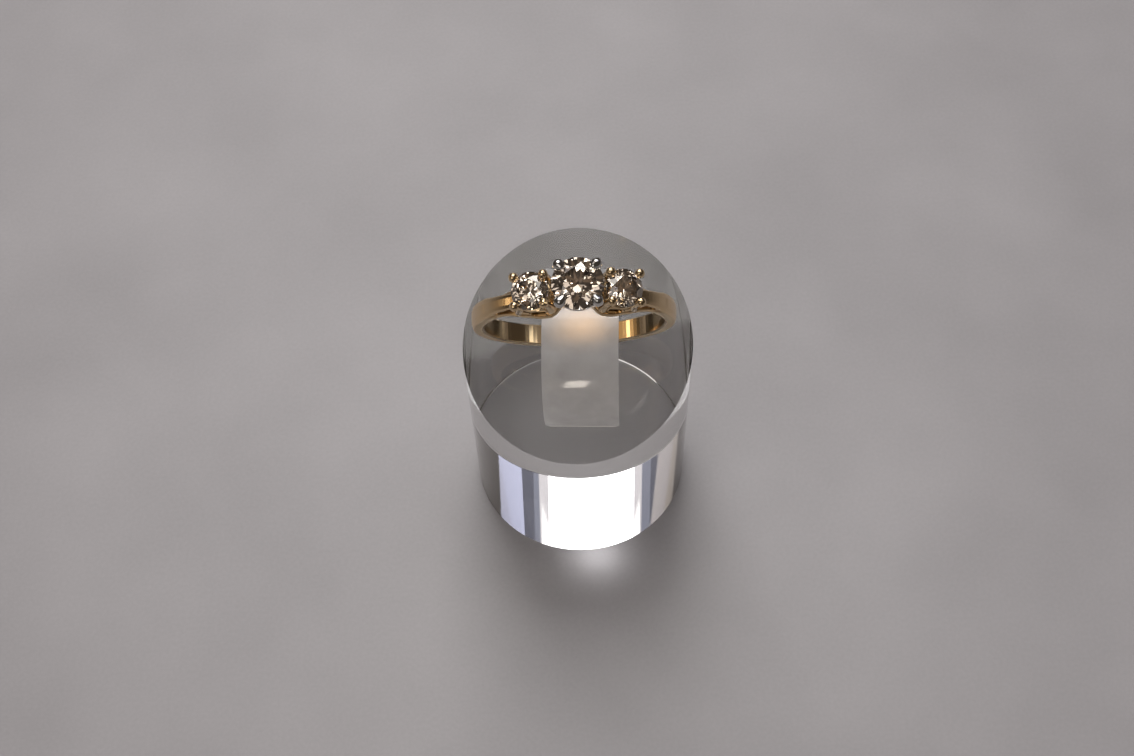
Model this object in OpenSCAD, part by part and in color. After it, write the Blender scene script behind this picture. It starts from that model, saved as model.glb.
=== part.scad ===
// Three stone ring held upright on a slanted display stand, in millimetres.
// The origin is at the middle of the stand's underside, Z is up and -Y faces the viewer.

/* [Stand] */
// Diameter of the cylinder
stand_d = 25.4; // [24:0.1:36]
// Height of the cylinder at the low end of its slanted face
stand_front_h = 21.7; // [12:0.1:28]
// Height of the cylinder at the high end of its slanted face
stand_back_h = 30.4; // [22:0.1:40]
// How far the slope is turned about the cylinder's axis
slant_turn = -6.1; // [-20:0.1:20]
// Chamfer around the underside
stand_chamfer = 0.2; // [0.1:0.05:0.6]

/* [Clip] */
// Width of the clip strip
clip_w = 8; // [5:0.1:10]
// Thickness of the clip strip
clip_t = 0.6; // [0.4:0.05:0.9]
// Radius of the clip's arch, to the middle of the strip
clip_r = 8.2; // [7.4:0.1:8.8]
// Height of the straight legs above the face
clip_leg_h = 1.6; // [0.8:0.1:3]
// How far the middle of the arch sits down the slope from the middle of the face
clip_down = 0.8; // [0:0.1:1.5]
// How far the middle of the clip sits to the right
clip_x = 0.65; // [-1:0.05:1]
// How far the clip is turned about the face's normal
clip_turn = -2.7; // [-6:0.1:6]
// Radius of the two corners at the clip's free end
clip_corner = 0.8; // [0.3:0.1:1.5]
// How deep the back leg goes into the slit in the face
slit_depth = 3; // [1.5:0.1:5]

/* [Band] */
// Inside diameter of the ring
finger_d = 18.6; // [17:0.1:20]
// Thickness of the band
band_t = 1.3; // [1:0.05:1.8]
// Width of the band
band_w = 2.15; // [1.8:0.05:2.8]
// Thickness of the thin rail that closes the ring under the heads
rail_t = 0.58; // [0.5:0.02:0.8]
// Thickness of the plate under each side head, and of the shoulder that runs into it
shoulder_t = 0.55; // [0.45:0.05:0.9]
// Height of the windows between the rail and the plate above it
window_h = 0.3; // [0.2:0.02:0.6]
// Width of a shoulder where it meets its head
shoulder_w = 1.6; // [1.2:0.1:2]
// Width of the lip left at each side of a window
lip_w = 0.18; // [0.14:0.02:0.3]
// Width across the feet of the side heads
gallery_w = 4; // [3.4:0.1:4.6]
// How far the outside of the band rises in its middle
band_crown = 0.16; // [0.05:0.01:0.3]

/* [Stones] */
// Diameter of the middle stone
center_d = 5.1; // [4.2:0.1:5.2]
// Diameter of each side stone
side_d = 3.8; // [3:0.1:4]
// Height of the middle stone's girdle above the finger
center_rise = 5.7; // [4.2:0.1:6]
// Distance of a side stone's girdle from the finger
side_rise = 4; // [3.4:0.1:4.6]
// Angle of each side stone around the finger
side_angle = 19.9; // [19:0.1:26]

/* [Heads] */
// Diameter of the ball on each prong of the middle head
center_ball_d = 1.16; // [0.8:0.02:1.24]
// Diameter of the ball on each prong of a side head
side_ball_d = 0.98; // [0.7:0.02:1.04]
// Diameter of a prong below its ball
prong_d = 0.7; // [0.56:0.02:0.8]
// Diameter of the wire that ties the prongs of a head together
wire_d = 0.46; // [0.36:0.02:0.6]

/* [Placing] */
// How far the ring leans toward the viewer
ring_lean = 3.4; // [0:0.2:8]
// How far the ring is turned about the face's normal
ring_turn = 0.2; // [-6:0.1:6]
// How far the ring is rolled on its foot
ring_roll = 3.8; // [-6:0.1:6]
// How far the ring stands to the right of the middle
ring_x = 0.08; // [-1:0.02:1]
// How far the ring stands down the slope from the middle of the face
ring_down = -0.18; // [-0.6:0.02:0.8]

/* [Clearances] */
// Gap between pieces that rest on each other
rest_gap = 0.03; // [0.02:0.01:0.06]
// Gap between a stone and its prongs
seat_gap = 0.02; // [0.01:0.005:0.05]

/* [Hidden] */
face_tilt = atan((stand_back_h - stand_front_h) / stand_d);
face_mid_h = (stand_back_h + stand_front_h) / 2;
finger_r = finger_d / 2;
band_r = finger_r + band_t;
rail_r = finger_r + rail_t;
slot_r = rail_r + window_h;
plate_r = slot_r + shoulder_t;
web_r = rail_r - rail_t * 0.2;
ring_h = band_r * cos(ring_lean) + band_w / 2 * sin(ring_lean) + rest_gap;
center_h = finger_r + center_rise;
side_h = finger_r + side_rise;
edge = 0.14;
round_fn = 14;

// stone proportions as shares of the diameter, and the two cut angles
table_share = 0.57;
star_share = 0.77;
lower_share = 0.23;
girdle_share = 0.03;
crown_angle = 34.5;
pavilion_angle = 40.8;

// band seen from above: angle from the top, half width, outer radius
band_rows = [
    [0, band_w * 0.46, rail_r], [8, band_w * 0.47, rail_r], [11, gallery_w * 0.4, rail_r],
    [14, gallery_w * 0.49, rail_r], [20, gallery_w * 0.5, rail_r], [31, gallery_w * 0.42, rail_r],
    [37, band_w * 0.66, rail_r], [42, band_w * 0.57, rail_r], [48, band_w * 0.5, rail_r],
    [53, band_w * 0.47, rail_r], [59, band_w * 0.485, mix(plate_r, band_r, 0.5)],
    [75, band_w * 0.5, mix(plate_r, band_r, 0.85)], [92, band_w * 0.5, band_r], [180, band_w * 0.5, band_r]];

// plate and shoulder above the rail: angle from the top, half width, outer radius, inner radius
plate_rows = [
    [10.5, gallery_w * 0.28, plate_r, web_r], [12.5, gallery_w * 0.41, plate_r, web_r],
    [16.5, gallery_w * 0.42, plate_r, web_r], [17.5, gallery_w * 0.37, plate_r, slot_r],
    [25, gallery_w * 0.36, plate_r, slot_r], [26, gallery_w * 0.41, plate_r, web_r],
    [31.5, gallery_w * 0.36, plate_r, web_r], [37, shoulder_w * 0.5, plate_r, web_r],
    [38, shoulder_w * 0.49, plate_r, slot_r], [45, shoulder_w * 0.5, mix(plate_r, band_r, 0.15), slot_r],
    [51, shoulder_w * 0.53, mix(plate_r, band_r, 0.3), slot_r],
    [52, shoulder_w * 0.54, mix(plate_r, band_r, 0.35), web_r],
    [59, band_w * 0.47, mix(plate_r, band_r, 0.5) - 0.02, web_r],
    [64, band_w * 0.45, mix(plate_r, band_r, 0.6) - 0.1, web_r]];

// angles at which the windows begin and end, and the angle of whole rail kept at each end
window_spans = [[17.5, 25], [38, 51]];
window_end = 0.4;

function mix(a, b, t) = a + (b - a) * t;
function ease(t) = t * t * (3 - 2 * t);
function row_at(rows, a, i = 0) =
    a <= rows[0][0] ? rows[0] :
    i > len(rows) - 2 ? rows[len(rows) - 1] :
    a <= rows[i + 1][0] ? mix(rows[i], rows[i + 1], ease((a - rows[i][0]) / (rows[i + 1][0] - rows[i][0]))) :
    row_at(rows, a, i + 1);
function on_circle(r, a, y) = [r * sin(a), y, r * cos(a)];

function steps(rows) = [for (i = [0 : len(rows) - 2])
    let (a = rows[i][0], span = rows[i + 1][0] - a, n = ceil(span / 3.2))
    for (k = [0 : n - 1]) a + span * k / n];

// one section of the band or a plate: inner radius, outer radius, half width, crown, angle
function section(ri, ro, hw, crown, a) = [
    on_circle(ri + edge, a, -hw), on_circle(ri, a, -hw + edge), on_circle(ri, a, hw - edge),
    on_circle(ri + edge, a, hw), on_circle(ro - crown - edge, a, hw), on_circle(ro - crown, a, hw - edge),
    on_circle(ro - crown * 0.25, a, hw * 0.45), on_circle(ro - crown * 0.25, a, -hw * 0.45),
    on_circle(ro - crown, a, -hw + edge), on_circle(ro - crown - edge, a, -hw)];

function flat(list) = [for (part = list) for (item = part) item];
function wall(n, m, last) = flat([for (i = [0 : last], j = [0 : m - 1])
    let (a = i * m + j, b = i * m + (j + 1) % m, c = (i + 1) % n * m + (j + 1) % m, d = (i + 1) % n * m + j)
    [[a, c, b], [a, d, c]]]);

module closed_loft(sections) {
    n = len(sections);
    polyhedron(flat(sections), wall(n, len(sections[0]), n - 1));
}

module open_loft(sections) {
    n = len(sections);
    m = len(sections[0]);
    caps = [[for (j = [0 : m - 1]) j], [for (j = [m - 1 : -1 : 0]) (n - 1) * m + j]];
    polyhedron(flat(sections), concat(wall(n, m, n - 2), caps));
}

module on_face() {
    rotate([0, 0, slant_turn]) translate([0, 0, face_mid_h]) rotate([face_tilt, 0, 0])
        rotate([0, 0, -slant_turn]) children();
}

module on_clip() {
    on_face() translate([clip_x, -clip_down, 0]) rotate([0, 0, clip_turn]) children();
}

module on_ring() {
    on_face() translate([ring_x, -ring_down, ring_h]) rotate([0, 0, ring_turn]) rotate([ring_lean, 0, 0])
        rotate([0, ring_roll, 0]) children();
}

module on_side(side) {
    rotate([0, side * side_angle, 0]) translate([0, 0, side_h]) children();
}

module on_center() {
    translate([0, 0, center_h]) children();
}

// a round brilliant with its girdle around the origin and its table up
module brilliant(d) {
    r = d / 2;
    half_girdle = girdle_share * d / 2;
    table_r = table_share * r;
    star_r = star_share * r;
    lower_r = lower_share * r;
    table_z = half_girdle + (r - table_r) * tan(crown_angle);
    star_z = table_z - (star_r * cos(22.5) - table_r) * tan(crown_angle);
    lower_z = -half_girdle - (r - lower_r * cos(22.5)) * tan(pavilion_angle);
    culet_z = -half_girdle - r * tan(pavilion_angle);
    points = concat(
        [for (k = [0 : 7]) [table_r * cos(45 * k), table_r * sin(45 * k), table_z]],
        [for (k = [0 : 7]) [star_r * cos(45 * k + 22.5), star_r * sin(45 * k + 22.5), star_z]],
        [for (k = [0 : 15]) [r * cos(22.5 * k), r * sin(22.5 * k), half_girdle]],
        [for (k = [0 : 15]) [r * cos(22.5 * k), r * sin(22.5 * k), -half_girdle]],
        [for (k = [0 : 7]) [lower_r * cos(45 * k + 22.5), lower_r * sin(45 * k + 22.5), lower_z]],
        [[0, 0, culet_z]]);
    table = [[for (k = [7 : -1 : 0]) k]];
    crown = flat([for (k = [0 : 7]) let (n = (k + 1) % 8, g = 16 + 2 * k, h = 16 + (2 * k + 2) % 16) [
        [k, n, 8 + k], [k, 8 + k, g, 8 + (k + 7) % 8], [8 + k, g + 1, g], [8 + k, h, g + 1]]]);
    girdle = [for (k = [0 : 15]) let (n = (k + 1) % 16) [16 + k, 16 + n, 32 + n, 32 + k]];
    pavilion = flat([for (k = [0 : 7]) let (g = 32 + 2 * k, h = 32 + (2 * k + 2) % 16) [
        [g, g + 1, 48 + k], [g + 1, h, 48 + k], [56, 48 + (k + 7) % 8, g, 48 + k]]]);
    polyhedron(points, concat(table, crown, girdle, pavilion));
}

// the room that a stone and its clearance take up among the prongs
module stone_room(d) {
    r = d / 2 + seat_gap;
    half_girdle = girdle_share * d / 2 + seat_gap;
    table_r = table_share * d / 2;
    star_r = star_share * d / 2;
    top = half_girdle + (d / 2 - table_r) * tan(crown_angle) + seat_gap;
    star_top = top - (star_r * cos(22.5) - table_r) * tan(crown_angle);
    rotate_extrude($fn = 48) polygon([
        [0, -half_girdle - r * tan(pavilion_angle)], [r, -half_girdle], [r, half_girdle],
        [star_r + seat_gap, star_top], [table_r + seat_gap, top], [0, top]]);
}

module rod(a, b, da, db) {
    hull() {
        translate(a) sphere(d = da, $fn = round_fn);
        translate(b) sphere(d = db, $fn = round_fn);
    }
}

module tie_ring(r, d) {
    rotate_extrude($fn = 36) translate([r, 0]) circle(d = d, $fn = 12);
}

module side_head(side) {
    grip = side_d / 2 + side_ball_d * 0.12;
    foot_y = gallery_w * 0.43 - prong_d * 0.6;
    difference() {
        union() {
            for (y = [-1, 1]) {
                inner = [-side * grip * 0.74, y * grip * 0.7, side_ball_d * 0.34];
                outer = [side * grip * 0.74, y * grip * 0.7, side_ball_d * 0.34];
                knee_in = [-side * grip * 0.7, y * grip * 0.68, -side_d * 0.3];
                knee_out = [side * grip * 0.68, y * grip * 0.66, -side_d * 0.3];
                foot_in = [-side * side_d * 0.27, y * foot_y, plate_r - side_h - prong_d * 0.6];
                foot_out = [side * side_d * 0.58, y * foot_y * 0.9, plate_r - side_h - prong_d * 0.6];
                translate(inner) sphere(d = side_ball_d, $fn = 20);
                translate(outer) sphere(d = side_ball_d, $fn = 20);
                rod(inner, knee_in, prong_d, prong_d);
                rod(outer, knee_out, prong_d, prong_d);
                rod(knee_in, foot_in, prong_d, prong_d * 1.5);
                rod(knee_out, foot_out, prong_d, prong_d * 1.3);
            }
            translate([0, 0, -side_d * 0.26]) tie_ring(grip - prong_d * 0.5, wire_d);
        }
        stone_room(side_d);
    }
}

module plate() {
    open_loft([for (a = concat(steps(plate_rows), [64])) let (row = row_at(plate_rows, a))
        section(row[3], row[2], row[1], band_crown * 0.6, a)]);
}

// room cut into the rail below a window, between the two lips
module well(span) {
    n = 5;
    open_loft([for (k = [0 : n])
        let (a = mix(span[0] + window_end, span[1] - window_end, k / n), hw = row_at(band_rows, a)[1] - lip_w) [
        on_circle(rail_r - rail_t * 0.55, a, -hw), on_circle(rail_r - rail_t * 0.55, a, hw),
        on_circle(rail_r + window_h * 0.3, a, hw), on_circle(rail_r + window_h * 0.3, a, -hw)]]);
}

module stand() {
    color("white", 0.5)
    difference() {
        rotate_extrude($fn = 96) polygon([
            [0, 0], [stand_d / 2 - stand_chamfer, 0], [stand_d / 2, stand_chamfer],
            [stand_d / 2, stand_back_h + 1], [0, stand_back_h + 1]]);
        on_face() translate([-stand_d, -stand_d, 0]) cube([2 * stand_d, 2 * stand_d, stand_d]);
        on_clip() translate([-clip_w / 2 - rest_gap, clip_r - clip_t / 2 - rest_gap, -slit_depth])
            cube([clip_w + 2 * rest_gap, clip_t + 2 * rest_gap, slit_depth + 1]);
    }
}

module clip() {
    color("gainsboro", 0.6)
    on_clip() difference() {
        rotate([90, 0, 90]) linear_extrude(clip_w, center = true) union() {
            translate([0, clip_leg_h]) difference() {
                circle(clip_r + clip_t / 2, $fn = 96);
                circle(clip_r - clip_t / 2, $fn = 96);
                translate([-2 * clip_r, -2 * clip_r]) square([4 * clip_r, 2 * clip_r]);
            }
            translate([-clip_r - clip_t / 2, rest_gap]) square([clip_t, clip_leg_h - rest_gap]);
            translate([clip_r - clip_t / 2, rest_gap - slit_depth]) square([clip_t, clip_leg_h - rest_gap + slit_depth]);
        }
        for (side = [-1, 1]) translate([side * clip_w / 2, -clip_r, rest_gap]) difference() {
            cube([2 * clip_corner, 3 * clip_t, 2 * clip_corner], center = true);
            translate([-side * clip_corner, 0, clip_corner]) rotate([90, 0, 0])
                cylinder(r = clip_corner, h = 4 * clip_t, center = true, $fn = 32);
        }
    }
}

module shank() {
    color("gold")
    on_ring() {
        difference() {
            closed_loft([for (k = [0 : 119]) let (a = k * 3, row = row_at(band_rows, a > 180 ? 360 - a : a))
                section(finger_r, row[2], row[1], band_crown * (row[2] - finger_r) / band_t, a)]);
            for (side = [0, 1], span = window_spans) mirror([side, 0, 0]) well(span);
        }
        for (side = [-1, 1]) {
            mirror([side > 0 ? 0 : 1, 0, 0]) plate();
            on_side(side) side_head(side);
        }
    }
}

module center_head() {
    grip = center_d / 2 - center_ball_d * 0.02;
    reach = center_d / 2 - center_ball_d * 0.3;
    side_on = center_d / 2 + prong_d * 0.2;
    foot = center_d * 0.2;
    foot_h = rail_r + prong_d * 0.8 - center_h;
    color("silver")
    on_ring() difference() {
        on_center() difference() {
            union() {
                for (x = [-1, 1], y = [-1, 1]) {
                    tip = [x * grip * 0.707, y * grip * 0.707, center_ball_d * 0.3];
                    nose = [x * reach * 0.707, y * reach * 0.707, center_ball_d * 0.42];
                    bend = [x * side_on * 0.707, y * side_on * 0.707, -center_ball_d * 0.1];
                    knee = [x * grip * 0.66, y * grip * 0.66, -center_d * 0.24];
                    hull() {
                        translate(tip) sphere(d = center_ball_d, $fn = 22);
                        translate(nose) sphere(d = center_ball_d * 0.7, $fn = 16);
                    }
                    rod(tip, bend, center_ball_d * 0.9, prong_d);
                    rod(bend, knee, prong_d, prong_d * 1.1);
                    rod(knee, [x * foot, y * foot, foot_h], prong_d * 1.1, prong_d * 1.1);
                }
                translate([0, 0, -center_d * 0.22]) tie_ring(grip - prong_d * 0.5, wire_d);
                translate([0, 0, foot_h - prong_d]) cylinder(r = foot * 1.3, h = prong_d * 1.3, $fn = 40);
            }
            stone_room(center_d);
        }
        rotate([90, 0, 0]) cylinder(r = rail_r + rest_gap, h = 3 * band_w, center = true, $fn = 180);
    }
}

module center_stone() {
    color("white", 0.7) on_ring() on_center() rotate([0, 0, 11.25]) brilliant(center_d);
}

module left_stone() {
    color("white", 0.7) on_ring() on_side(-1) brilliant(side_d);
}

module right_stone() {
    color("white", 0.7) on_ring() on_side(1) rotate([0, 0, 22.5]) brilliant(side_d);
}

stand();
clip();
shank();
center_head();
center_stone();
left_stone();
right_stone();
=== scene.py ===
import math
import bpy
from mathutils import Matrix, Vector

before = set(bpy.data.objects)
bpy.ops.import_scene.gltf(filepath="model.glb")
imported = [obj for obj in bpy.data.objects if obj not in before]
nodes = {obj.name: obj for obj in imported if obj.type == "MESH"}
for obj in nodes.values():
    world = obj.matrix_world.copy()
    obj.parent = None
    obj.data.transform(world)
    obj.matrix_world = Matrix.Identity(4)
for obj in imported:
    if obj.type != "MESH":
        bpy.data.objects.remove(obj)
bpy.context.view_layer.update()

mm = 0.001
print("frame loaded:", ", ".join(sorted(nodes)))


def hexToLinear(code):
    # sRGB hex to the linear values that the shaders expect
    channels = [int(code[i:i + 2], 16) / 255 for i in (1, 3, 5)]
    linear = [c / 12.92 if c <= 0.04045 else ((c + 0.055) / 1.055) ** 2.4 for c in channels]
    return (*linear, 1.0)


def patternScale(size):
    # noise scale that gives spots of about this size in mm
    return 1 / (size * mm)


def turn(degrees, axis):
    return Matrix.Rotation(math.radians(degrees), 4, axis)


def addNode(tree, kind, links=None, **settings):
    # a setting is one of the node's own, or a socket, with _ for a space in its name
    node = tree.nodes.new("ShaderNode" + kind)
    for name, value in settings.items():
        if hasattr(node, name):
            setattr(node, name, value)
        else:
            node.inputs[name.replace("_", " ")].default_value = value
    for socket, source in (links or {}).items():
        tree.links.new(source, node.inputs[socket])
    return node


def newMaterial(name):
    material = bpy.data.materials.new(name)
    material.use_nodes = True
    material.node_tree.nodes.clear()
    return material, material.node_tree


# Where the ring stands, from the same sizes as the solids
place = {
    "faceTilt": 18.91,      # degrees, the slanted top of the stand
    "slantTurn": -6.1,      # degrees, the slope about the cylinder's axis
    "faceMiddle": 26.05,    # mm above the table
    "ringX": 0.08,          # mm to the right
    "ringDown": -0.18,      # mm down the slope
    "ringHeight": 10.675,   # mm from the face to the middle of the finger opening
    "ringTurn": 0.2,        # degrees about the face's normal
    "ringLean": 3.4,        # degrees toward the viewer
    "ringRoll": 3.8,        # degrees about the finger
    "fingerRadius": 9.3,    # mm, inside the band
}

faceFrame = (turn(place["slantTurn"], "Z") @ Matrix.Translation((0, 0, place["faceMiddle"] * mm))
             @ turn(place["faceTilt"], "X") @ turn(-place["slantTurn"], "Z"))
faceNormal = faceFrame.to_3x3() @ Vector((0, 0, 1))
ringMiddle = (place["ringX"] * mm, -place["ringDown"] * mm, place["ringHeight"] * mm)
ringFrame = (faceFrame @ Matrix.Translation(ringMiddle) @ turn(place["ringTurn"], "Z")
             @ turn(place["ringLean"], "X") @ turn(place["ringRoll"], "Y"))


# Camera: a short tele from 59 degrees above the table, as in the photograph
view = {
    "elevation": 59.24,         # degrees
    "distance": 178.15,         # mm from the point that it aims at
    "aim": (0, 0, 12.7),        # mm, in the middle of the stand
    "swing": (0.433, 1.069),    # degrees away from that point, left and up
    "roll": 1.63,               # degrees about the line of sight
    "pixels": 1513.85,          # focal length in pixels of the photograph
    "photoWide": 1134,          # pixels
    "sensor": 36,               # mm
    "clip": (0.002, 10),        # metres, nearest and farthest point seen
}


def makeCamera():
    high = math.radians(view["elevation"])
    back = Vector((0, -math.cos(high), math.sin(high)))
    look, right = -back, Vector((1, 0, 0))
    up = right.cross(look)
    sideways = turn(view["swing"][0], up)
    look, right = sideways @ look, sideways @ right
    upward = turn(view["swing"][1], right)
    look, up = upward @ look, upward @ up
    roll = turn(view["roll"], look)
    right, up = roll @ right, roll @ up
    data = bpy.data.cameras.new("camera")
    data.sensor_width = view["sensor"]
    data.lens = view["pixels"] / view["photoWide"] * view["sensor"]
    data.clip_start, data.clip_end = view["clip"]
    camera = bpy.data.objects.new("camera", data)
    spot = Vector(view["aim"]) * mm + back * view["distance"] * mm
    axes = Matrix((right, up, -look)).transposed()
    camera.matrix_world = Matrix.Translation(spot) @ axes.to_4x4()
    bpy.context.collection.objects.link(camera)
    bpy.context.scene.camera = camera


makeCamera()
print("camera placed")


# Cast acrylic (PMMA), polished all over: the round side is clearest, the slope keeps a faint haze
acrylic = {
    "ior": 1.49,
    "tint": "#F7F7F6",
    "sideRough": 0.008,
    "slopeRough": 0.03,
    "slopeFrom": 0.9,                       # cosine to the slope's normal where its finish begins
    "slopeFull": 0.97,                      # and where it is full
    "haze": 0.03,                           # share of the light that its scratches scatter
    "hazeColour": "#D6D2CE",
    "scratchMm": 0.12,                      # coarser than the real 0.02 mm so that they show
    "scratchStretch": (0.15, 1.0, 1.0),     # they run across the slope
    "scratchBump": 0.05,
    "scratchDeepMm": 0.01,
}


def acrylicMaterial():
    material, tree = newMaterial("castAcrylic")
    geometry = addNode(tree, "NewGeometry")
    facing = addNode(tree, "VectorMath", {0: geometry.outputs["Normal"]}, operation="DOT_PRODUCT")
    facing.inputs[1].default_value = faceNormal
    slope = addNode(tree, "MapRange", {"Value": facing.outputs["Value"]},
                    From_Min=acrylic["slopeFrom"], From_Max=acrylic["slopeFull"])
    rough = addNode(tree, "MapRange", {"Value": slope.outputs["Result"]},
                    To_Min=acrylic["sideRough"], To_Max=acrylic["slopeRough"])
    stretch = addNode(tree, "Mapping", {"Vector": geometry.outputs["Position"]},
                      Scale=acrylic["scratchStretch"])
    marks = addNode(tree, "TexNoise", {"Vector": stretch.outputs["Vector"]},
                    Scale=patternScale(acrylic["scratchMm"]), Detail=2.0)
    strength = addNode(tree, "MapRange", {"Value": slope.outputs["Result"]},
                       To_Max=acrylic["scratchBump"])
    bump = addNode(tree, "Bump",
                   {"Height": marks.outputs["Fac"], "Strength": strength.outputs["Result"]},
                   Distance=acrylic["scratchDeepMm"] * mm)
    clear = addNode(tree, "BsdfPrincipled",
                    {"Roughness": rough.outputs["Result"], "Normal": bump.outputs["Normal"]},
                    Base_Color=hexToLinear(acrylic["tint"]), IOR=acrylic["ior"],
                    Transmission_Weight=1.0)
    haze = addNode(tree, "BsdfDiffuse", Color=hexToLinear(acrylic["hazeColour"]))
    share = addNode(tree, "MapRange", {"Value": slope.outputs["Result"]}, To_Max=acrylic["haze"])
    mixed = addNode(tree, "MixShader", {0: share.outputs["Result"], 1: clear.outputs["BSDF"],
                                        2: haze.outputs["BSDF"]})
    addNode(tree, "OutputMaterial", {"Surface": mixed.outputs["Shader"]})
    return material


# Calendered PVC strip, bent warm: milky all through under a smooth skin. Its end has a painted
# highlight: the end is coloured whiter to stand in for its bright edge.
strip = {
    "ior": 1.53,
    "tint": "#F1F2F3",
    "rough": 0.24,
    "skinRough": 0.03,
    "milk": "#D9D8D8",
    "milkThrough": 0.5,         # share of the milky light that comes out on the other side
    "milkClear": 0.5,           # share of milk in the clearest patches
    "milkDense": 0.62,          # and in the densest
    "cloudMm": 2.5,             # size of the patches
    "cloudRange": (0.3, 0.7),   # noise from clearest to densest
    # painted highlight: a whiter colour at the strip's end stands in for the bright glow along its
    # edge
    "paintedEndGlowColour": "#F4F2EE",
    "endGlowFromMm": 0.3,               # height above the face where the painted highlight at the end begins
    "endGlowFullMm": 0.18,          # and where it is full
}


def stripMaterial():
    material, tree = newMaterial("frostedPvcStrip")
    geometry = addNode(tree, "NewGeometry")
    height = addNode(tree, "VectorMath", {0: geometry.outputs["Position"]},
                     operation="DOT_PRODUCT")
    height.inputs[1].default_value = faceNormal
    foot = faceNormal.dot(faceFrame.to_translation())
    endGlowMask = addNode(tree, "MapRange", {"Value": height.outputs["Value"]},
                  From_Min=foot + strip["endGlowFromMm"] * mm, From_Max=foot + strip["endGlowFullMm"] * mm)
    cloud = addNode(tree, "TexNoise", {"Vector": geometry.outputs["Position"]},
                    Scale=patternScale(strip["cloudMm"]), Detail=3.0)
    patchy = addNode(tree, "MapRange", {"Value": cloud.outputs["Fac"]},
                     From_Min=strip["cloudRange"][0], From_Max=strip["cloudRange"][1],
                     To_Min=strip["milkClear"], To_Max=strip["milkDense"])
    clear = addNode(tree, "BsdfPrincipled", Base_Color=hexToLinear(strip["tint"]),
                    IOR=strip["ior"], Roughness=strip["rough"], Transmission_Weight=1.0,
                    Coat_Weight=1.0, Coat_Roughness=strip["skinRough"])
    lit = addNode(tree, "BsdfDiffuse", Color=hexToLinear(strip["milk"]))
    through = addNode(tree, "BsdfTranslucent", Color=hexToLinear(strip["milk"]))
    milk = addNode(tree, "MixShader", {1: lit.outputs["BSDF"], 2: through.outputs["BSDF"]},
                   Fac=strip["milkThrough"])
    body = addNode(tree, "MixShader", {0: patchy.outputs["Result"], 1: clear.outputs["BSDF"],
                                       2: milk.outputs["Shader"]})
    # painted highlight: near the face the strip's end turns into a plain whiter diffuse, standing
    # in for its bright edge
    paintedEndGlow = addNode(tree, "BsdfDiffuse", Color=hexToLinear(strip["paintedEndGlowColour"]))
    whole = addNode(tree, "MixShader", {0: endGlowMask.outputs["Result"], 1: body.outputs["Shader"],
                                        2: paintedEndGlow.outputs["BSDF"]})
    addNode(tree, "OutputMaterial", {"Surface": whole.outputs["Shader"]})
    return material


# 14 karat yellow gold: warm mirror inside and on the heads, a fine satin outside on the band
yellow = {
    "colour": "#DEC49C",
    "polishRough": 0.15,
    "satinRough": 0.33,
    "satinOutMm": (0.1, 0.3),               # outside the finger opening, where the satin sets in
    "satinHighMm": (7.4, 9.0),              # above the opening's middle, where it dies out
    "strokeMm": 0.09,                       # coarser than the real 0.02 mm so that they show
    "strokeStretch": (0.12, 1.0, 0.12),     # they run around the band
    "strokeBump": (0.02, 0.2),              # on the mirror and in the satin
    "strokeDeepMm": 0.01,
}


def yellowGoldMaterial():
    material, tree = newMaterial("yellowGold14k")
    geometry = addNode(tree, "NewGeometry")
    toRing = ringFrame.inverted()
    local = addNode(tree, "Mapping", {"Vector": geometry.outputs["Position"]},
                    vector_type="POINT", Location=toRing.to_translation(),
                    Rotation=toRing.to_euler())
    axes = addNode(tree, "SeparateXYZ", {0: local.outputs["Vector"]})
    flat = addNode(tree, "CombineXYZ", {0: axes.outputs["X"], 2: axes.outputs["Z"]})
    radius = addNode(tree, "VectorMath", {0: flat.outputs["Vector"]}, operation="LENGTH")
    inner, full = [(place["fingerRadius"] + out) * mm for out in yellow["satinOutMm"]]
    outer = addNode(tree, "MapRange", {"Value": radius.outputs["Value"]},
                    From_Min=inner, From_Max=full)
    low = addNode(tree, "MapRange", {"Value": axes.outputs["Z"]}, To_Min=1.0, To_Max=0.0,
                  From_Min=yellow["satinHighMm"][0] * mm, From_Max=yellow["satinHighMm"][1] * mm)
    satin = addNode(tree, "Math", {0: outer.outputs["Result"], 1: low.outputs["Result"]},
                    operation="MULTIPLY")
    rough = addNode(tree, "MapRange", {"Value": satin.outputs["Value"]},
                    To_Min=yellow["polishRough"], To_Max=yellow["satinRough"])
    stretch = addNode(tree, "Mapping", {"Vector": local.outputs["Vector"]},
                      Scale=yellow["strokeStretch"])
    strokes = addNode(tree, "TexNoise", {"Vector": stretch.outputs["Vector"]},
                      Scale=patternScale(yellow["strokeMm"]), Detail=3.0)
    strength = addNode(tree, "MapRange", {"Value": satin.outputs["Value"]},
                       To_Min=yellow["strokeBump"][0], To_Max=yellow["strokeBump"][1])
    bump = addNode(tree, "Bump",
                   {"Height": strokes.outputs["Fac"], "Strength": strength.outputs["Result"]},
                   Distance=yellow["strokeDeepMm"] * mm)
    metal = addNode(tree, "BsdfPrincipled",
                    {"Roughness": rough.outputs["Result"], "Normal": bump.outputs["Normal"]},
                    Base_Color=hexToLinear(yellow["colour"]), Metallic=1.0)
    addNode(tree, "OutputMaterial", {"Surface": metal.outputs["BSDF"]})
    return material


# Rhodium plated white gold: a cool bright mirror, dulled a little in patches where it was handled
white = {
    "colour": "#D9D7D2",
    "brightRough": 0.05,
    "dullRough": 0.14,
    "patchMm": 0.7,                 # size of the patches
    "patchRange": (0.35, 0.65),     # noise from brightest to dullest
}


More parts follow.
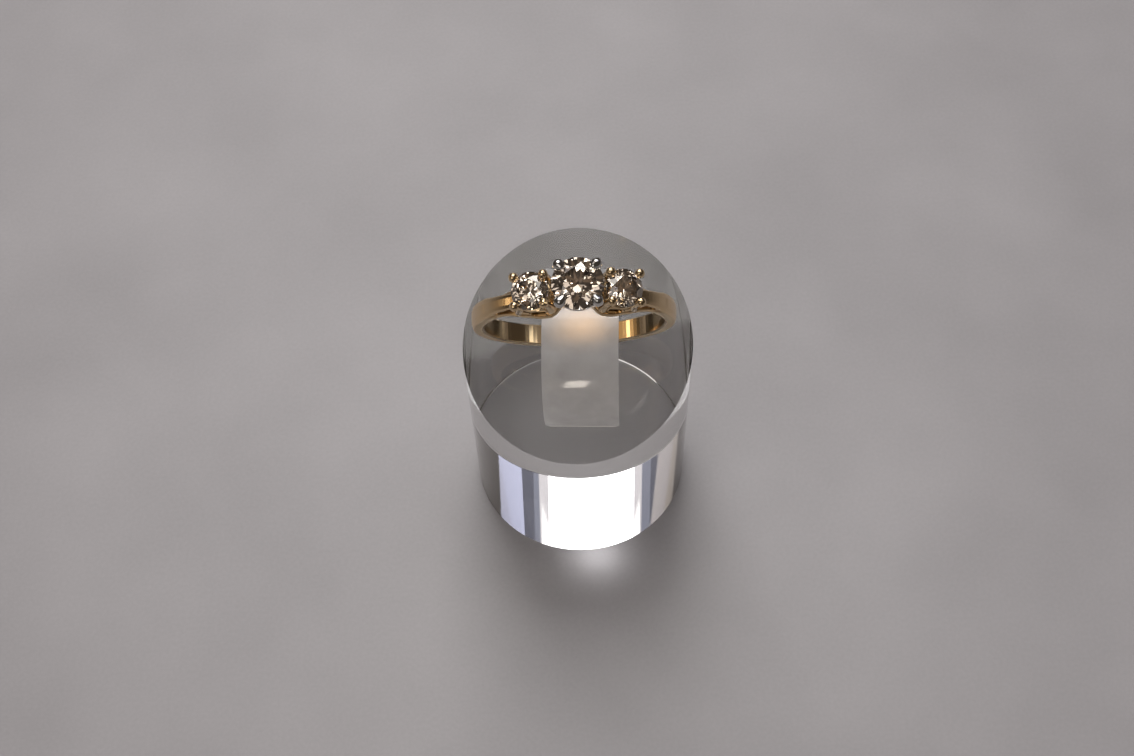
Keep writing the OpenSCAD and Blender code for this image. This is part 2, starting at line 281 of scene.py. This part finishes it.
def whiteGoldMaterial():
    material, tree = newMaterial("rhodiumWhiteGold")
    geometry = addNode(tree, "NewGeometry")
    patch = addNode(tree, "TexNoise", {"Vector": geometry.outputs["Position"]},
                    Scale=patternScale(white["patchMm"]), Detail=3.0)
    rough = addNode(tree, "MapRange", {"Value": patch.outputs["Fac"]},
                    From_Min=white["patchRange"][0], From_Max=white["patchRange"][1],
                    To_Min=white["brightRough"], To_Max=white["dullRough"])
    metal = addNode(tree, "BsdfPrincipled", {"Roughness": rough.outputs["Result"]},
                    Base_Color=hexToLinear(white["colour"]), Metallic=1.0)
    addNode(tree, "OutputMaterial", {"Surface": metal.outputs["BSDF"]})
    return material


# Near colourless diamond, facets polished dead flat: hard sparkle, a breath of warmth in its depth
diamond = {
    "ior": 2.42,
    "warm": "#FFF7EC",
    "clear": "#FFFFFF",
    "cloudMm": 1.6,     # size of the warmer spots
}


def diamondMaterial():
    material, tree = newMaterial("nearColourlessDiamond")
    geometry = addNode(tree, "NewGeometry")
    cloud = addNode(tree, "TexNoise", {"Vector": geometry.outputs["Position"]},
                    Scale=patternScale(diamond["cloudMm"]))
    tint = addNode(tree, "MixRGB", {"Fac": cloud.outputs["Fac"]},
                   Color1=hexToLinear(diamond["warm"]), Color2=hexToLinear(diamond["clear"]))
    glass = addNode(tree, "BsdfGlass", {"Color": tint.outputs["Color"]},
                    IOR=diamond["ior"], Roughness=0.0)
    addNode(tree, "OutputMaterial", {"Surface": glass.outputs["BSDF"]})
    return material


# Degrees between two faces above which their edge stays sharp; the stones stay flat all over
sharpAngle = {"stand": 30, "clip": 30, "shank": 32, "center_head": 32}
stoneNames = ("center_stone", "left_stone", "right_stone")


def dress(node, material):
    shown = nodes[node]
    shown.data.materials.clear()
    shown.data.materials.append(material)
    for face in shown.data.polygons:
        face.use_smooth = node in sharpAngle
    if node in sharpAngle:
        shown.data.set_sharp_from_angle(angle=math.radians(sharpAngle[node]))


dress("stand", acrylicMaterial())
dress("clip", stripMaterial())
dress("shank", yellowGoldMaterial())
dress("center_head", whiteGoldMaterial())
brilliantCut = diamondMaterial()
for stone in stoneNames:
    dress(stone, brilliantCut)
print("materials on")


# Floor: plain board with a satin grey paper face, which looks soft and matt, with faint blotches
# and a fine tooth
board = {
    "light": "#B4B0B1",
    "dark": "#A39FA0",
    "rough": 0.5,
    "half": 0.6,                    # metres from the middle to each edge
    "gapMm": 0.02,                  # below the stand, whose underside so stays a mirror
    "blotchMm": 26,                 # size of the blotches
    "blotchRange": (0.3, 0.7),      # noise from darkest to lightest
    "blotchShare": 0.7,             # of the way from dark to light
    "toothMm": 0.45,                # size of the tooth
    "toothRange": (0.25, 0.75),
    "toothShare": 0.3,
    "toothBump": 0.25,
    "toothDeepMm": 0.03,
}


def boardMaterial():
    material, tree = newMaterial("satinGreyBoard")
    geometry = addNode(tree, "NewGeometry")
    cloud = addNode(tree, "TexNoise", {"Vector": geometry.outputs["Position"]},
                    Scale=patternScale(board["blotchMm"]), Detail=4.0)
    grain = addNode(tree, "TexNoise", {"Vector": geometry.outputs["Position"]},
                    Scale=patternScale(board["toothMm"]), Detail=2.0)
    blotch = addNode(tree, "MapRange", {"Value": cloud.outputs["Fac"]},
                     From_Min=board["blotchRange"][0], From_Max=board["blotchRange"][1],
                     To_Max=board["blotchShare"])
    tooth = addNode(tree, "MapRange", {"Value": grain.outputs["Fac"]},
                    From_Min=board["toothRange"][0], From_Max=board["toothRange"][1],
                    To_Max=board["toothShare"])
    both = addNode(tree, "Math", {0: blotch.outputs["Result"], 1: tooth.outputs["Result"]},
                   operation="ADD")
    tone = addNode(tree, "MixRGB", {"Fac": both.outputs["Value"]},
                   Color1=hexToLinear(board["dark"]), Color2=hexToLinear(board["light"]))
    bump = addNode(tree, "Bump", {"Height": grain.outputs["Fac"]},
                   Strength=board["toothBump"], Distance=board["toothDeepMm"] * mm)
    paper = addNode(tree, "BsdfPrincipled",
                    {"Base Color": tone.outputs["Color"], "Normal": bump.outputs["Normal"]},
                    Roughness=board["rough"])
    addNode(tree, "OutputMaterial", {"Surface": paper.outputs["BSDF"]})
    return material


def makeFloor():
    half = board["half"]
    corners = [(-half, -half, 0), (half, -half, 0), (half, half, 0), (-half, half, 0)]
    mesh = bpy.data.meshes.new("floor")
    mesh.from_pydata(corners, [], [range(len(corners))])
    floor = bpy.data.objects.new("floor", mesh)
    floor.location.z = -board["gapMm"] * mm
    bpy.context.collection.objects.link(floor)
    mesh.materials.append(boardMaterial())
    return floor


floor = makeFloor()
print("floor laid")


# Soft boxes around the stand. Each row: azimuth (0 is the viewer's side, 90 the right, 180 behind),
# elevation, distance, width and height in metres, watts, colour, and a turn in the box's own plane
lights = {
    "mainBox": (187, 58.8, 0.6, 0.285, 0.48, 1.74, "#FFFFFF"),          # white in the stand's wall
    "mainEdge": (187, 58.8, 0.61, 0.355, 0.48, 0.34, "#FFF4EA"),        # its warm border
    "mainFade": (189, 58.8, 0.62, 0.42, 0.48, 0.13, "#E8ECFF"),         # its cool border
    "skyBox": (186.9, 79.8, 0.6, 0.34, 0.3, 0.62, "#FFFDF8"),           # from high above
    "backPanel": (187, 60, 0.8, 1.2, 0.5, 0.3, "#C8D4FF"),              # blue grey between them
    "window": (128, 61, 0.6, 0.085, 0.2, 0.045, "#E0E2FF", 45),         # pale stripe, wall's left
    "sideBox": (249, 56.4, 0.6, 0.15, 0.3, 0.07, "#FFF0E4"),            # warm field, wall's right
    "frontLamp": (354.65, 1.2, 0.5, 0.009, 0.11, 0.066, "#FFF4E6"),     # the dash on the strip
    "frontFill": (323.5, 40.6, 0.6, 0.4, 0.3, 0.4, "#FFF8F4"),
}

# More rows of the same kind, which light one kind of piece alone: the sparkle of the facets,
# the strip's front leg, and the inside of the band
stoneLamps = {
    "leftSpark": (295.3, 59.5, 0.5, 0.05, 0.05, 0.12, "#FFF4EA"),
    "rightSpark": (63.5, 51.5, 0.5, 0.05, 0.05, 0.17, "#FFE9D6"),
    "lowSpark": (20.5, 25, 0.5, 0.06, 0.05, 0.16, "#FFF1E2"),
    "lowLeftSpark": (324.3, 22.6, 0.5, 0.05, 0.05, 0.14, "#F2F6FF"),
    "frontPanel": (15, 62, 0.9, 0.5, 0.35, 0.055, "#FFDDC0"),
    "leftPanel": (285, 48, 0.9, 0.35, 0.5, 0.035, "#FFE6D0"),
    "rightPanel": (75, 45, 0.9, 0.35, 0.4, 0.04, "#FFD8B8"),
}
stripLamps = {
    "leftLeg": (305, 3, 0.5, 0.2, 0.2, 1.25, "#FFF8F2"),
    "rightLeg": (57, 3, 0.5, 0.2, 0.2, 1.15, "#FFF8F2"),
}
bandLamps = {
    "leftInside": (88, 35, 0.5, 0.05, 0.09, 0.03, "#FFFFFF"),
    "rightInside": (267, 18, 0.5, 0.1, 0.3, 0.05, "#FFD9A8"),
    "rightGlint": (266, 18, 0.49, 0.03, 0.05, 0.02, "#FFE9C8"),
}
lampAim = (0, 0, 0.025)     # metres, the point that every soft box faces


def areaLamp(name, wide, high, watts, colour):
    data = bpy.data.lights.new(name, "AREA")
    data.shape = "RECTANGLE"
    data.size, data.size_y = wide, high
    data.energy = watts
    data.color = hexToLinear(colour)[:3]
    lamp = bpy.data.objects.new(name, data)
    bpy.context.collection.objects.link(lamp)
    return lamp


def softBox(name, azimuth, elevation, distance, wide, high, watts, colour, slant=0):
    box = areaLamp(name, wide, high, watts, colour)
    a, e = math.radians(azimuth), math.radians(elevation)
    way = Vector((math.sin(a) * math.cos(e), -math.cos(a) * math.cos(e), math.sin(e)))
    facing = way.to_track_quat("Z", "Y").to_matrix().to_4x4()
    box.location = Vector(lampAim) + way * distance
    box.rotation_euler = (facing @ turn(slant, "Z")).to_euler()
    return box


def softBoxes(rows):
    return [softBox(name, *row) for name, row in rows.items()]


# Light that the polished pieces gather and throw on, from small lamps that shine down: a warm
# glow from inside the ring onto the top of the strip, and a pale patch on the table where the
# cylinder lets light out at its foot
gathered = {
    "glow": {
        "at": (0.9, -0.5, 8.6),     # mm from the middle of the finger opening, along the ring
        "wide": 4.5,                # mm
        "deep": 1.4,                # mm
        "spread": 36,               # degrees
        "watts": 0.00009,
        "colour": "#FFC884",
    },
    "patch": {
        "at": (1.6, -13.3, 4.4),    # mm from the middle of the stand's underside
        "wide": 4.0,
        "deep": 0.6,
        "spread": 120,
        "watts": 0.00009,
        "colour": "#FBFCFF",
    },
}


def gatheredLamp(name, start):
    values = gathered[name]
    lamp = areaLamp(name, values["wide"] * mm, values["deep"] * mm,
                    values["watts"], values["colour"])
    lamp.data.spread = math.radians(values["spread"])
    lamp.matrix_world = start @ Matrix.Translation(Vector(values["at"]) * mm)
    lamp.visible_camera = lamp.visible_glossy = lamp.visible_transmission = False
    return lamp


def lightOnly(label, pieces, lamps):
    lit = bpy.data.collections.new(label)
    for piece in pieces:
        lit.objects.link(piece)
    for lamp in lamps:
        lamp.light_linking.receiver_collection = lit


def makeLights():
    softBoxes(lights)
    lightOnly("stonesOnly", [nodes[stone] for stone in stoneNames], softBoxes(stoneLamps))
    lightOnly("stripOnly", [nodes["clip"]],
              [*softBoxes(stripLamps), gatheredLamp("glow", ringFrame)])
    lightOnly("bandOnly", [nodes["shank"]], softBoxes(bandLamps))
    lightOnly("floorOnly", [floor], [gatheredLamp("patch", Matrix())])


# The dim light of the room, from all round
room = {"colour": "#9A8F86", "strength": 0.17}


def makeWorld():
    world = bpy.data.worlds.new("studio")
    world.use_nodes = True
    background = world.node_tree.nodes["Background"]
    background.inputs["Color"].default_value = hexToLinear(room["colour"])
    background.inputs["Strength"].default_value = room["strength"]
    bpy.context.scene.world = world
    bpy.context.scene.view_settings.view_transform = "Standard"


makeLights()
makeWorld()
print("lights placed")
